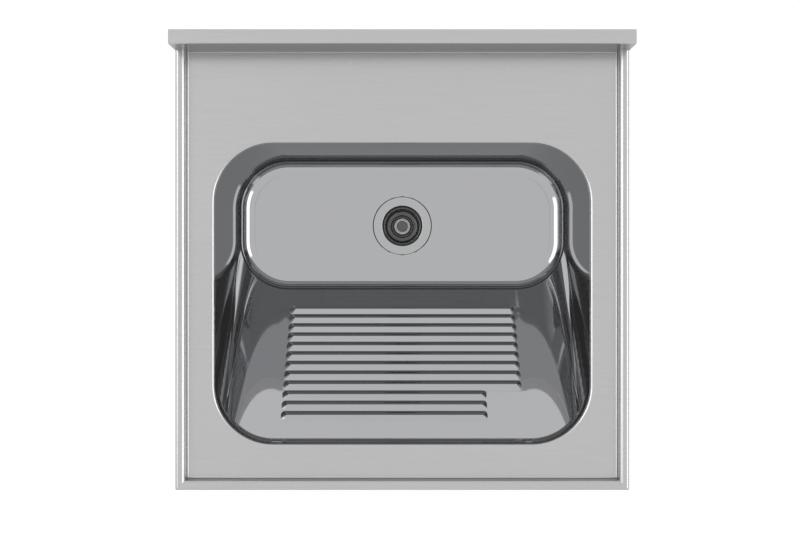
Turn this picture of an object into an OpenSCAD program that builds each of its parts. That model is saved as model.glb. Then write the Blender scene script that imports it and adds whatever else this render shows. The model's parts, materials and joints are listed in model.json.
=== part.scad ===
// Stainless steel laundry sink: square deck with a raised rim and a folded upstand at the back,
// deep-drawn bowl with a pressed washboard, and a basket strainer waste.
// +X right, +Y to the wall, +Z up. The origin is under the middle of the deck, on the plane of its
// turned-in lip, which is the face that rests on brackets or a cabinet.

/* [Deck] */
// Width of the deck, left to right
deck_w = 600; // [580:5:700]
// Depth of the deck, front to back
deck_d = 600; // [585:5:700]
// Thickness of the deck and bowl sheet
sheet = 0.8; // [0.6:0.1:1.2]
// Height of the deck above the face it rests on
skirt_h = 30; // [20:1:60]
// Width of the lip turned in under the skirt
lip_w = 14; // [10:1:15]
// Skin radius of the folds at the lip
fold_r = 2; // [1.5:0.1:4]
// Rounding of the two front corners, seen from above
corner_r = 2; // [1:0.1:2.2]

/* [Raised rim] */
// Height of the rim above the deck
rim_h = 12.7; // [10:0.1:20]
// Width of the rim, from its outer edge to its inner wall
rim_w = 15.5; // [12:0.5:18]
// Outer rounding of the rim
rim_outer_r = 5; // [3:0.5:7]
// Inner rounding of the rim
rim_inner_r = 4; // [2:0.5:5]
// Hollow between the rim and the deck
rim_base_r = 2.5; // [1:0.5:3.5]

/* [Upstand] */
// Height of the upstand above the deck
upstand_h = 50; // [30:1:100]
// Thickness of the upstand, front to back
upstand_t = 19; // [15:0.5:30]
// Rounding of its two top edges
upstand_r = 3; // [1.5:0.5:5]
// Hollow between the upstand and the deck
upstand_base_r = 2; // [1:0.5:4]
// How far the end plates reach down behind the side skirts
end_lap = 2; // [1:0.5:5]

/* [Bowl] */
// Distance from a side of the deck to the bowl's side wall
bowl_side = 50; // [45:0.5:70]
// Inside depth of the bowl, front to back
bowl_l = 400; // [360:5:410]
// Depth from the deck to the flat floor
bowl_depth = 200; // [185:5:230]
// Distance from the front of the deck to the bowl's front wall
bowl_front = 59.5; // [55:0.5:70]
// Radius of the upright corners
bowl_corner_r = 78; // [60:1:90]
// Hollow all round the floor
bowl_floor_r = 20; // [15:1:25]
// How far each wall leans in from its top to its foot
bowl_draft = 4.5; // [0:0.5:8]
// Rounding where the deck turns down into the bowl
bowl_edge_r = 3; // [2:0.5:4]
// Length of the pan at its foot, from the back wall to where the washboard starts
pan_l = 195; // [185:0.5:205]

/* [Washboard ribs] */
// Number of ribs
rib_count = 12; // [6:1:12]
// Number of short ribs at the top
rib_short_count = 3; // [0:1:5]
// Distance between ribs along the slope
rib_pitch = 16.8; // [15:0.1:18]
// Distance along the slope from the pan to the first rib
rib_first = 29.5; // [15:0.5:35]
// Height of a rib above the slope
rib_h = 5.2; // [3:0.1:6]
// Rounding of the rib's nose
rib_nose_r = 1.5; // [1.2:0.1:2.5]
// Distance from the end of a long rib's nose to where the bowl's corner starts to curve
rib_margin = 14.5; // [8:0.5:30]
// How much shorter the upper ribs are at their right end
rib_cut = 49.5; // [20:0.5:120]
// Length of a rib's tapered end
rib_end = 7; // [4:0.5:10]

/* [Strainer] */
// Distance from the back wall to the middle of the drain
drain_back = 102.5; // [90:0.5:115]
// Outside diameter of the strainer's flange
flange_d = 89; // [84:0.5:95]
// Thickness of the flange and cup
cup_t = 1.2; // [1:0.1:1.4]
// Inside diameter of the cup's mouth
mouth_d = 60.5; // [58:0.5:66]
// Depth of the cup below the flange
cup_depth = 50; // [47:1:60]
// Rounding of the mouth
mouth_r = 1.5; // [1:0.5:4]
// Depth from the flange to the ledge that carries the basket
ledge_depth = 10; // [7:0.5:12]
// Width of that ledge
ledge_w = 2.4; // [2.2:0.1:3]
// Wall of the thread that takes the lock nut
thread_t = 2.8; // [2.4:0.1:4]
// Length of that thread, from the flange
thread_l = 30; // [26:1:36]
// Outside diameter of the outlet thread
outlet_d = 47.8; // [46:0.2:49]
// Bore of the outlet
outlet_bore_d = 40; // [36:0.5:41]
// Length of the outlet thread
outlet_l = 18; // [14:1:24]
// Gap between the flange's edge and the edge of its recess
recess_gap = 0.8; // [0.4:0.1:1.5]

/* [Seals and nuts] */
// Thickness of the seal under the flange
flange_seal_t = 1; // [0.5:0.1:2]
// Thickness of the rubber washer under the bowl
under_seal_t = 3; // [2:0.5:4]
// Thickness of the friction washer
friction_t = 1; // [0.5:0.1:1.5]
// Width of both washers' ring
washer_w = 11.5; // [8:0.5:13]
// Height of the lock nut
lock_nut_h = 12; // [8:1:14]
// Wall of the lock nut
lock_nut_w = 8; // [5:0.5:10]
// Number of lugs on the lock nut
lock_lugs = 6; // [4:1:8]
// Height of the coupling nut
coupling_h = 22; // [20:1:26]
// Wall of the coupling nut
coupling_w = 4; // [3:0.5:6]
// Number of grip ribs on the coupling nut
coupling_ribs = 12; // [6:1:16]
// Thickness of the outlet gasket
outlet_gasket_t = 2; // [1:0.5:3]
// Outside diameter of the tailpiece
tail_d = 40; // [38:0.5:42]
// Wall of the tailpiece
tail_t = 2; // [1.5:0.1:2.5]
// Length of the tailpiece
tail_l = 90; // [60:5:160]
// Thickness of the tailpiece's collar
tail_collar_t = 2.5; // [2:0.5:4]
// Play between a thread and its nut
thread_gap = 0.05; // [0.02:0.01:0.1]
// Play of washers and gaskets round what passes through them
washer_gap = 0.4; // [0.2:0.1:0.8]
// Play between the coupling nut's web and the tailpiece
web_gap = 1.2; // [0.4:0.1:1.5]

/* [Basket and stopper] */
// Thickness of the basket
basket_t = 0.6; // [0.5:0.1:0.8]
// Depth of the basket below its rim
basket_depth = 28; // [24:1:29]
// Taper of the basket's wall
basket_taper = 4; // [1:0.5:6]
// Play between the basket's rim and the cup's mouth
basket_gap = 0.5; // [0.3:0.1:1]
// Rounding round the bottom of the basket
basket_r = 4; // [2:0.5:5]
// Diameter of a drain hole
hole_d = 2.8; // [2:0.1:3]
// Rings of holes in the basket's bottom
hole_rings = 3; // [1:1:3]
// Distance between those rings
hole_pitch = 3.6; // [3.5:0.1:3.8]
// Number of holes round the wall
wall_holes = 18; // [12:1:22]
// Diameter of the stopper's stem
stem_d = 6; // [4:0.5:7]
// Wall of the bush that guides the stem
bush_t = 1.8; // [1:0.1:2]
// Outside diameter of the ring-shaped knob
knob_d = 24.6; // [20:0.2:26]
// Bore of the knob
knob_bore_d = 17.2; // [12:0.2:18]
// Height of the knob
knob_h = 6.5; // [5:0.5:9]
// Floor of the knob, inside its ring
knob_floor = 1.5; // [1:0.1:2]
// Thickness of the rubber plug
plug_t = 4.5; // [3.5:0.5:5]
// How far the plug laps over the outlet's edge
plug_lap = 2.5; // [1.5:0.5:4]
// Radial play of the stem in its bush
stem_gap = 0.08; // [0.04:0.01:0.1]
// Gap between a resting piece and its seat
seat_gap = 0.3; // [0.2:0.05:0.5]

/* [Stiffening] */
// Thickness of the rails and channels
rail_t = 1.2; // [1:0.1:1.5]
// Distance from the ends of a support rail to the bowl's front and back walls
rail_end = 10; // [0:1:30]
// Width of a rail's or channel's welded feet
foot_w = 5; // [4:0.5:7]
// Gap between the rail's feet and the bowl
rail_gap = 4; // [3:0.5:6]
// Gap between the rail and the deck's lip
lip_gap = 2.2; // [1:0.1:4]
// Bend radius of rails and channels
rail_fold_r = 2; // [1.5:0.1:2.5]
// Distance between the two fixing holes of a rail
fixing_pitch = 300; // [240:10:310]
// Diameter of the fixing holes
fixing_d = 9; // [6:0.5:11]
// Depth of the front and rear channels
channel_h = 12; // [8:1:16]
// Width of the front channel's web
front_channel_w = 28; // [20:1:30]
// Width of the rear channel's web
rear_channel_w = 30; // [20:1:40]
// Distance from the ends of both channels to the sides of the deck
channel_end = 60; // [50:1:100]

/* [Damping pads] */
// Thickness of the pads
pad_t = 2; // [1.5:0.5:3]
// Width of the side pads
side_pad_w = 80; // [60:5:85]
// Width of the back pad
back_pad_w = 220; // [150:5:300]
// Height of the pads
pad_h = 110; // [80:5:120]
// Rounding of the pads' corners
pad_r = 10; // [4:1:20]

/* [Hidden] */

// Steps of the bends in a folded sheet, in degrees
bend_step = 15;
// Facets of round parts, of the bowl's corners, and of a rib's nose
fine = 72;
bowl_facets = 96;
nose_facets = 16;
// Step of the hollow round the floor, in degrees
hollow_step = 7.5;
// Heading of a profile that runs towards the axis it is turned about
inward = 180;
// Overshoot of cuts, and a level of no real height
over = 1;
thin = 0.01;
// Room for cutters larger than the sink
big = 1000;

// Levels
top_z = skirt_h;
floor_z = top_z - bowl_depth;
collar_z = top_z - bowl_edge_r;
under_deck_z = top_z - sheet;

// Bowl places
bowl_w = deck_w - 2 * bowl_side;
bowl_y = -deck_d / 2 + bowl_front + bowl_l / 2;
bowl_back_y = bowl_y + bowl_l / 2;
bowl_front_y = bowl_y - bowl_l / 2;
drain_y = bowl_back_y - drain_back;

// Foot of the walls, where the pan ends, and the washboard from there to the front
pan_z = floor_z + bowl_floor_r;
pan_y = bowl_back_y - bowl_draft - pan_l;
slope_rise = collar_z - pan_z;
slope_angle = atan(slope_rise / (pan_y - bowl_front_y));
slope_l = slope_rise / sin(slope_angle);
wall_angle = atan(bowl_draft / slope_rise);

// Rim and upstand places
rim_base = rim_w + rim_base_r;
upstand_base = upstand_t + upstand_base_r;
upstand_y = deck_d / 2 - upstand_t;
// Clear corner where a side skirt ends at the upstand's sheet
skirt_relief = 0.2;

// Ribs, whose treads lie level: how many there is room for, the length of a long one, and the
// angle of their three sloping faces with the slope
rib_rows = min(rib_count, floor((slope_l - rib_first - rib_pitch) / rib_pitch));
rib_long = bowl_w - 2 * bowl_corner_r - 2 * rib_margin;
rib_back_run = rib_h / tan(slope_angle);
rib_riser = rib_pitch - rib_back_run;
riser_angle = atan(rib_h / rib_riser);
tread_angle = atan(rib_h / rib_back_run);
end_angle = atan(rib_h / rib_end);

// Strainer levels and radii
recess_r = flange_d / 2 + recess_gap;
recess_depth = cup_t + flange_seal_t;
mouth_cr = mouth_d / 2;
thread_r = mouth_cr + thread_t;
cup_r = mouth_cr - ledge_w;
outlet_r = outlet_bore_d / 2;
outlet_thread_r = outlet_d / 2;
flange_z = floor_z;
ledge_z = flange_z - ledge_depth;
cup_floor_z = flange_z - cup_depth;
cup_floor_r = 5;
ledge_in_r = 0.5;
outlet_end_z = cup_floor_z - cup_t - outlet_l;
drain_hole_r = thread_r + washer_gap;
under_bowl_z = floor_z - recess_depth - sheet;

// Basket and stopper levels and radii
basket_rim_z = ledge_z + seat_gap + basket_t;
basket_floor_z = basket_rim_z - basket_depth;
basket_rim_r = mouth_cr - basket_gap;
basket_wall_r = cup_r - basket_gap - basket_t;
basket_lip_r = 1;
stem_r = stem_d / 2;
bush_bore_r = stem_r + stem_gap;
bush_r = bush_bore_r + bush_t;
bush_collar_w = 2;
bush_collar_t = 0.8;
plug_z = cup_floor_z + seat_gap;
knob_z = basket_floor_z + bush_collar_t + seat_gap;
plug_r = outlet_r + plug_lap;

// Nut levels
lock_nut_z = under_bowl_z - under_seal_t - friction_t;
tail_z = outlet_end_z - outlet_gasket_t;
coupling_z = tail_z - tail_collar_t - coupling_w;
coupling_r = outlet_thread_r + thread_gap + coupling_w;
tail_collar_r = outlet_thread_r - washer_gap;

// A folded sheet, drawn as a walk along its skin. Each step is [straight run, turn, skin radius],
// a left turn is positive, and the sheet lies t to the right of the skin, or to its left if t < 0.
function to_right(h) = [sin(h), -cos(h)];
function ahead(h) = [cos(h), sin(h)];
function walk(steps, side, p, h, i = 0) =
    i == len(steps) ? [] :
    let (turn = steps[i][1],
         r = steps[i][2],
         s = turn < 0 ? -1 : 1,
         q = p + steps[i][0] * ahead(h),
         c = q - s * r * to_right(h),
         n = ceil(abs(turn) / bend_step))
    concat(
        turn == 0
            ? [q + side * to_right(h)]
            : [for (k = [0 : n]) c + (s * r + side) * to_right(h + turn * k / n)],
        walk(steps, side, c + s * r * to_right(h + turn), h + turn, i + 1));
function reversed(a) = [for (i = [len(a) - 1 : -1 : 0]) a[i]];
function folded(steps, t, p, h) = concat(
    [p], walk(steps, 0, p, h),
    reversed(walk(steps, t, p, h)), [p + t * to_right(h)]);

// Profile of the rim, skirt and lip: x is 0 at the outer edge and y is the level
rim_profile = folded([
    [0, 90, rim_base_r],
    [rim_h - rim_base_r - rim_inner_r, -90, rim_inner_r],
    [rim_w - rim_inner_r - rim_outer_r, -90, rim_outer_r],
    [rim_h - rim_outer_r + skirt_h - fold_r, -90, fold_r],
    [lip_w - fold_r, 0, 0]
], sheet, [-rim_base, top_z], 0);

// Profile of the upstand, back skirt and lip
upstand_profile = folded([
    [0, 90, upstand_base_r],
    [upstand_h - upstand_base_r - upstand_r, -90, upstand_r],
    [upstand_t - 2 * upstand_r, -90, upstand_r],
    [upstand_h - upstand_r + skirt_h - fold_r, -90, fold_r],
    [lip_w - fold_r, 0, 0]
], sheet, [-upstand_base, top_z], 0);

// Rectangle with rounded corners, centred
module round_rect(w, l, r) {
    square([w - 2 * r, l], center = true);
    square([w, l - 2 * r], center = true);
    for (x = [-1, 1], y = [-1, 1])
        translate([x * (w / 2 - r), y * (l / 2 - r)]) circle(r, $fn = fine);
}

// A profile run along X, with its outer edge on Y = 0
module run(profile, length) {
    rotate([90, 0, 90]) linear_extrude(length, center = true) polygon(profile);
}

// Left side of the deck: rim as far as the upstand, skirt and lip as far as the back
module side_run() {
    intersection() {
        translate([-deck_w / 2, 0, 0]) rotate([0, 0, 90]) run(rim_profile, deck_d);
        union() {
            translate([0, 0, -over]) linear_extrude(big) polygon([
                [-deck_w / 2, -deck_d / 2],
                [-deck_w / 2 + rim_base, -deck_d / 2 + rim_base],
                [-deck_w / 2 + rim_base, upstand_y],
                [-deck_w / 2 + sheet + skirt_relief, upstand_y],
                [-deck_w / 2, upstand_y - sheet - skirt_relief]
            ]);
            translate([-deck_w / 2, upstand_y - over, 0])
                cube([lip_w, upstand_t + over, top_z - end_lap]);
        }
    }
}

module front_run() {
    intersection() {
        translate([0, -deck_d / 2, 0]) rotate([0, 0, 180]) run(rim_profile, deck_w);
        translate([0, 0, -over]) linear_extrude(big) polygon([
            [-deck_w / 2, -deck_d / 2],
            [deck_w / 2, -deck_d / 2],
            [deck_w / 2 - rim_base, -deck_d / 2 + rim_base],
            [-deck_w / 2 + rim_base, -deck_d / 2 + rim_base]
        ]);
    }
}

// Everything outside one rounded upright corner at the front left
module corner_waste() {
    translate([-deck_w / 2, -deck_d / 2, -over]) difference() {
        translate([-over, -over, 0]) cube([corner_r + over, corner_r + over, big]);
        translate([corner_r, corner_r, -over]) cylinder(big + 2 * over, r = corner_r, $fn = fine);
    }
}

// Section of the deck where it turns down into the bowl: x is 0 at the bowl's wall
module edge_section() {
    intersection() {
        translate([bowl_edge_r, collar_z]) difference() {
            circle(bowl_edge_r, $fn = fine);
            circle(bowl_edge_r - sheet, $fn = fine);
        }
        translate([0, collar_z]) square(bowl_edge_r);
    }
}

module bowl_edge() {
    x = bowl_w / 2 - bowl_corner_r;
    y = bowl_l / 2 - bowl_corner_r;
    translate([0, bowl_y, 0]) for (m = [0, 1]) mirror([m, 0, 0]) {
        translate([bowl_w / 2, 0, 0])
            rotate([90, 0, 0]) linear_extrude(2 * y, center = true) edge_section();
        for (n = [0, 1]) mirror([0, n, 0]) translate([x, y, 0])
            rotate_extrude(angle = 90, $fn = fine) translate([bowl_corner_r, 0]) edge_section();
    }
    translate([0, bowl_y, 0]) for (n = [0, 1]) mirror([0, n, 0]) translate([0, bowl_l / 2, 0])
        rotate([90, 0, 90]) linear_extrude(2 * x, center = true) edge_section();
}

module deck_plate() {
    y0 = -deck_d / 2 + rim_base;
    difference() {
        translate([-deck_w / 2 + rim_base, y0, under_deck_z])
            cube([deck_w - 2 * rim_base, deck_d / 2 - upstand_base - y0, sheet]);
        translate([0, bowl_y, under_deck_z - over]) linear_extrude(sheet + 2 * over)
            round_rect(bowl_w + 2 * bowl_edge_r, bowl_l + 2 * bowl_edge_r, bowl_corner_r + bowl_edge_r);
    }
}

module deck() {
    color("silver") difference() {
        union() {
            deck_plate();
            bowl_edge();
            front_run();
            side_run();
            mirror([1, 0, 0]) side_run();
            translate([0, deck_d / 2, 0]) run(upstand_profile, deck_w - 2 * sheet);
        }
        corner_waste();
        mirror([1, 0, 0]) corner_waste();
    }
}

// Left end plate of the upstand
module upstand_end() {
    z0 = top_z - end_lap;
    z1 = top_z + upstand_h;
    translate([-deck_w / 2, 0, 0]) rotate([90, 0, 90]) linear_extrude(sheet) union() {
        translate([upstand_y, z0]) square([upstand_t, z1 - upstand_r - z0]);
        translate([upstand_y + upstand_r, z0]) square([upstand_t - 2 * upstand_r, z1 - z0]);
        for (y = [upstand_y + upstand_r, deck_d / 2 - upstand_r])
            translate([y, z1 - upstand_r]) circle(upstand_r, $fn = fine);
    }
}

module upstand_end_left() {
    color("silver") upstand_end();
}

module upstand_end_right() {
    color("silver") mirror([1, 0, 0]) upstand_end();
}

// Frame of the washboard: x across, y down the slope, z square to it, 0 where the pan ends
module on_slope() {
    translate([0, pan_y, pan_z]) rotate([-slope_angle, 0, 0]) children();
}

// One level of the bowl, inset from its opening, its front edge at y
module bowl_level(inset, y, z, h) {
    r = bowl_corner_r - inset;
    translate([0, 0, z]) linear_extrude(h) hull()
        for (x = [-1, 1], front = [y + r, bowl_back_y - bowl_corner_r])
            translate([x * (bowl_w / 2 - bowl_corner_r), front]) circle(r, $fn = bowl_facets);
}

// The bowl's inside, or its outside when grown by the sheet: a pan with a hollow all round,
// and over it walls that lean out and a washboard that climbs to the front
module bowl_form(grow) {
    front = grow / sin(slope_angle);
    hull() {
        bowl_level(bowl_draft - grow, pan_y - front, pan_z, thin);
        bowl_level(-grow, bowl_front_y - front, collar_z, over);
    }
    hull() for (a = [0 : hollow_step : 90])
        let (r = bowl_floor_r + grow,
             inset = bowl_floor_r - r * sin(a))
        bowl_level(bowl_draft + inset, pan_y + inset, pan_z - r * cos(a), thin);
}

// Outline of a rib's foot: straight along the riser, round at both ends
function rib_outline(left, right, end, foot, tail) = concat(
    [for (a = [90 : -bend_step : 0]) [-left - end * sin(a), tail - (tail - foot) * cos(a)]],
    [for (a = [0 : bend_step : 90]) [right + end * sin(a), tail - (tail - foot) * cos(a)]]);

// One rib, or the hollow behind it when skin is the sheet's thickness
module rib(i, skin) {
    foot = rib_first + i * rib_pitch + skin * tan(riser_angle / 2);
    tail = rib_first + (i + 1) * rib_pitch - skin * tan(tread_angle / 2);
    nose = rib_first + i * rib_pitch + rib_riser;
    left = rib_long / 2;
    right = i < rib_rows - rib_short_count ? left : left - rib_cut;
    end = rib_end - skin * tan(end_angle / 2);
    on_slope() mirror([0, 1, 0]) hull() {
        translate([0, 0, -skin - over]) linear_extrude(over)
            polygon(rib_outline(left, right, end, foot, tail));
        translate([-left, nose, rib_h - rib_nose_r]) rotate([0, 90, 0])
            cylinder(left + right, r = rib_nose_r - skin, $fn = nose_facets);
    }
}

module drain_cylinder(z0, z1, r) {
    translate([0, drain_y, z0]) cylinder(z1 - z0, r = r, $fn = fine);
}

module bowl() {
    color("lightsteelblue") difference() {
        union() {
            bowl_form(sheet);
            drain_cylinder(under_bowl_z, floor_z, recess_r + sheet);
        }
        difference() {
            bowl_form(0);
            for (i = [0 : rib_rows - 1]) rib(i, 0);
        }
        for (i = [0 : rib_rows - 1]) rib(i, sheet);
        translate([-big / 2, -big / 2, collar_z]) cube(big);
        drain_cylinder(floor_z - recess_depth, floor_z + over, recess_r);
        drain_cylinder(under_bowl_z - over, floor_z, drain_hole_r);
    }
}

// Channel with a web w wide and depth h, its feet welded under the deck, along Y
module channel(w, h, length, r) {
    side = w / 2 + r;
    rotate([90, 0, 0]) linear_extrude(length, center = true) polygon(folded([
        [foot_w, -90, r],
        [h - rail_t - 2 * r, 90, r],
        [w - 2 * r, 90, r],
        [h - rail_t - 2 * r, -90, r],
        [foot_w, 0, 0]
    ], rail_t, [-side - foot_w, under_deck_z], 0));
}

// Rail between the bowl and the lip, as deep as the skirt
rail_near = bowl_w / 2 + sheet + rail_gap + foot_w + rail_fold_r;
rail_far = deck_w / 2 - lip_w - lip_gap - rail_fold_r;
rail_x = (rail_near + rail_far) / 2;
rail_w = rail_far - rail_near;
rail_l = bowl_l - 2 * rail_end;
rail_h = under_deck_z;
channel_l = deck_w - 2 * channel_end;

module support_rail() {
    translate([-rail_x, bowl_y, 0]) difference() {
        channel(rail_w, rail_h, rail_l, rail_fold_r);
        for (y = [-1, 1]) translate([0, y * fixing_pitch / 2, -over])
            cylinder(rail_t + 2 * over, d = fixing_d, $fn = fine);
    }
}

module support_rail_left() {
    color("gray") support_rail();
}

module support_rail_right() {
    color("gray") mirror([1, 0, 0]) support_rail();
}

module front_channel() {
    color("gray") translate([0, (-deck_d / 2 + bowl_y - bowl_l / 2) / 2, 0])
        rotate([0, 0, 90]) channel(front_channel_w, channel_h, channel_l, rail_fold_r);
}

module rear_channel() {
    color("gray") translate([0, (upstand_y + bowl_back_y) / 2, 0])
        rotate([0, 0, 90]) channel(rear_channel_w, channel_h, channel_l, rail_fold_r);
}

pad_z = (pan_z + collar_z) / 2;
side_pad_y = bowl_back_y - bowl_corner_r - side_pad_w / 2;

// Pad on the outside of a wall that looks along +X, far from the middle
module pad(w, far, along) {
    translate([far + sheet, along, collar_z]) rotate([0, wall_angle, 0])
        translate([0, 0, pad_z - collar_z]) rotate([90, 0, 90])
        linear_extrude(pad_t) round_rect(w, pad_h, pad_r);
}

module damping_pad_left() {
    color("dimgray") mirror([1, 0, 0]) pad(side_pad_w, bowl_w / 2, side_pad_y);
}

module damping_pad_right() {
    color("dimgray") pad(side_pad_w, bowl_w / 2, side_pad_y);
}

module damping_pad_back() {
    color("dimgray") rotate([0, 0, 90]) pad(back_pad_w, bowl_back_y, 0);
}

// Everything round the drain is turned about its upright axis
module turned() {
    translate([0, drain_y, 0]) rotate_extrude($fn = fine) children();
}

module ring(r0, r1, z0, z1) {
    translate([r0, z0]) square([r1 - r0, z1 - z0]);
}

module strainer_cup() {
    color("silver") turned() {
        polygon(folded([
            [flange_d / 2 - mouth_cr - mouth_r, 90, mouth_r],
            [ledge_depth - mouth_r - ledge_in_r, -90, ledge_in_r],
            [ledge_w - ledge_in_r - cup_t - ledge_in_r / 2, 90, cup_t + ledge_in_r / 2],
            [cup_depth - ledge_depth - cup_t - ledge_in_r / 2 - cup_floor_r, -90, cup_floor_r],
            [cup_r - cup_floor_r - outlet_r, 0, 0]
        ], -cup_t, [flange_d / 2, flange_z], inward));
        ring(mouth_cr + cup_t / 2, thread_r, flange_z - thread_l, flange_z - cup_t / 2);
        ring(outlet_r, outlet_thread_r, outlet_end_z, cup_floor_z - cup_t / 2);
    }
}

module flange_seal() {
    color("black") turned()
        ring(drain_hole_r, flange_d / 2 - washer_gap, floor_z - recess_depth, flange_z - cup_t);
}

module under_seal() {
    color("black") turned()
        ring(drain_hole_r, thread_r + washer_w, under_bowl_z - under_seal_t, under_bowl_z);
}

module friction_washer() {
    color("tan") turned() ring(drain_hole_r, thread_r + washer_w, lock_nut_z, lock_nut_z + friction_t);
}

// Evenly spaced grips that stand out of a nut's wall
module grips(count, r, w, out, z0, h) {
    for (i = [0 : count - 1]) translate([0, drain_y, z0]) rotate([0, 0, i * 360 / count])
        translate([r - out, -w / 2, 0]) cube([2 * out, w, h]);
}

lug_w = 8;
lug_out = 4;
grip_w = 3;
grip_out = 1.2;

module lock_nut() {
    bore = thread_r + thread_gap;
    color("white") {
        turned() ring(bore, bore + lock_nut_w, lock_nut_z - lock_nut_h, lock_nut_z);
        grips(lock_lugs, bore + lock_nut_w, lug_w, lug_out, lock_nut_z - lock_nut_h, lock_nut_h);
    }
}

module outlet_gasket() {
    color("black") turned()
        ring(tail_d / 2 - tail_t, tail_collar_r, tail_z, outlet_end_z);
}

module tailpiece() {
    color("white") turned() {
        ring(tail_d / 2 - tail_t, tail_collar_r, tail_z - tail_collar_t, tail_z);
        ring(tail_d / 2 - tail_t, tail_d / 2, tail_z - tail_l, tail_z);
    }
}

module coupling_nut() {
    color("white") {
        turned() {
            ring(outlet_thread_r + thread_gap, coupling_r, coupling_z, coupling_z + coupling_h);
            ring(tail_d / 2 + web_gap, coupling_r, coupling_z, coupling_z + coupling_w);
        }
        grips(coupling_ribs, coupling_r, grip_w, grip_out, coupling_z, coupling_h);
    }
}

module strainer_basket() {
    slope = 90 - basket_taper;
    bends = basket_lip_r + basket_r;
    wall = (basket_depth - bends * (1 - cos(slope))) / sin(slope);
    floor_r = basket_wall_r + basket_lip_r - bends * sin(slope) - wall * cos(slope);
    first_ring = bush_r + bush_collar_w + hole_d;
    color("silver") difference() {
        turned() polygon(folded([
            [basket_rim_r - basket_wall_r - basket_lip_r, slope, basket_lip_r],
            [wall, -slope, basket_r],
            [floor_r - bush_r, 0, 0]
        ], -basket_t, [basket_rim_r, basket_rim_z], inward));
        for (ring = [0 : hole_rings - 1])
            let (r = first_ring + ring * hole_pitch, n = floor(2 * r))
            for (i = [0 : n - 1]) translate([0, drain_y, basket_floor_z - over - basket_t])
                rotate([0, 0, i * 360 / n]) translate([r, 0, 0])
                cylinder(basket_t + 2 * over, d = hole_d, $fn = 16);
        for (i = [0 : wall_holes - 1])
            translate([0, drain_y, (basket_rim_z + basket_floor_z) / 2])
            rotate([0, 90, i * 360 / wall_holes]) translate([0, 0, floor_r])
            cylinder(basket_rim_r, d = hole_d, $fn = 16);
    }
}

// Bush in the basket's floor, with a collar above and below
module basket_bush() {
    z0 = basket_floor_z - basket_t;
    color("white") turned() {
        ring(bush_bore_r, bush_r, z0 - bush_collar_t, basket_floor_z + bush_collar_t);
        ring(bush_bore_r, bush_r + bush_collar_w, basket_floor_z, basket_floor_z + bush_collar_t);
        ring(bush_bore_r, bush_r + bush_collar_w, z0 - bush_collar_t, z0);
    }
}

module stopper_knob() {
    color("silver") turned() {
        ring(knob_bore_d / 2, knob_d / 2, knob_z, knob_z + knob_h);
        ring(0, knob_d / 2, knob_z, knob_z + knob_floor);
        ring(0, stem_r, plug_z, knob_z + knob_floor);
    }
}

module stopper_plug() {
    color("black") turned() ring(stem_r, plug_r, plug_z, plug_z + plug_t);
}

deck();
upstand_end_left();
upstand_end_right();
bowl();
support_rail_left();
support_rail_right();
front_channel();
rear_channel();
damping_pad_left();
damping_pad_right();
damping_pad_back();
strainer_cup();
flange_seal();
under_seal();
friction_washer();
lock_nut();
outlet_gasket();
tailpiece();
coupling_nut();
strainer_basket();
basket_bush();
stopper_knob();
stopper_plug();
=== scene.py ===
import json
import math

import bpy
import numpy as np
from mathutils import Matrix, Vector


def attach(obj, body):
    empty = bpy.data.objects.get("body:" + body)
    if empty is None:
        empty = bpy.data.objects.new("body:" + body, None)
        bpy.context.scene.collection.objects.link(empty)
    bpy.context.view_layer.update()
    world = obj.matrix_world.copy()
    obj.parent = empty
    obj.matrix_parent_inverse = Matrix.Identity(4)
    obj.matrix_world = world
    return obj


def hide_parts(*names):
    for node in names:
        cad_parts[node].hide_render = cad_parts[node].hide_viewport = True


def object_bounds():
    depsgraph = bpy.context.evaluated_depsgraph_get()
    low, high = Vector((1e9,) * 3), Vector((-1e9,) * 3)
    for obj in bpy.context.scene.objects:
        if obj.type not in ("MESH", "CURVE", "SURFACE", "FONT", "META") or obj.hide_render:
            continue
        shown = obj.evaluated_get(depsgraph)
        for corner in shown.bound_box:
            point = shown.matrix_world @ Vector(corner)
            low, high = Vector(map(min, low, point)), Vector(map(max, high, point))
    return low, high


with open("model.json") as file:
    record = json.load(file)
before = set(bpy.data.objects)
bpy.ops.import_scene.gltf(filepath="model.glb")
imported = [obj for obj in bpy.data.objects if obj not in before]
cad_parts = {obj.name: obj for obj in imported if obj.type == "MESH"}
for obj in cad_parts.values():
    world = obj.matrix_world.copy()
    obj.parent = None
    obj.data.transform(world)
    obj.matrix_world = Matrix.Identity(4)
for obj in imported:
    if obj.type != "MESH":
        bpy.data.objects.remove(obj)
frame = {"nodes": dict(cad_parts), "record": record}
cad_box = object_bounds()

# Lengths are in millimetres. Most are the solids' own, but those of the rim, the washboard and the
# roundings follow the photo more closely. A mesh joins points that are the same to 1 / STEPS_PER_MM.
MM = 0.001
STEPS_PER_MM = 2000
SHEET = 0.8

# Deck: the flat sheet, its turned-in lip, the raised rim and the folded upstand
DECK = 600.0
HALF = DECK / 2
TOP_Z = 30.0
LIP_W = 14.0
FOLD_R = 2.0
CORNER_R = 2.0
RIM_H, RIM_W = 12.7, 14.2
RIM_OUTER_R, RIM_INNER_R, RIM_BASE_R = 5.0, 7.5, 2.5
RIM_BASE = RIM_W + RIM_BASE_R
UPSTAND_H, UPSTAND_T = 50.0, 19.0
UPSTAND_R, UPSTAND_BASE_R = 3.0, 0.8
UPSTAND_Y = HALF - UPSTAND_T
UPSTAND_BASE = UPSTAND_T + UPSTAND_BASE_R
END_LAP = 2.0

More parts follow.
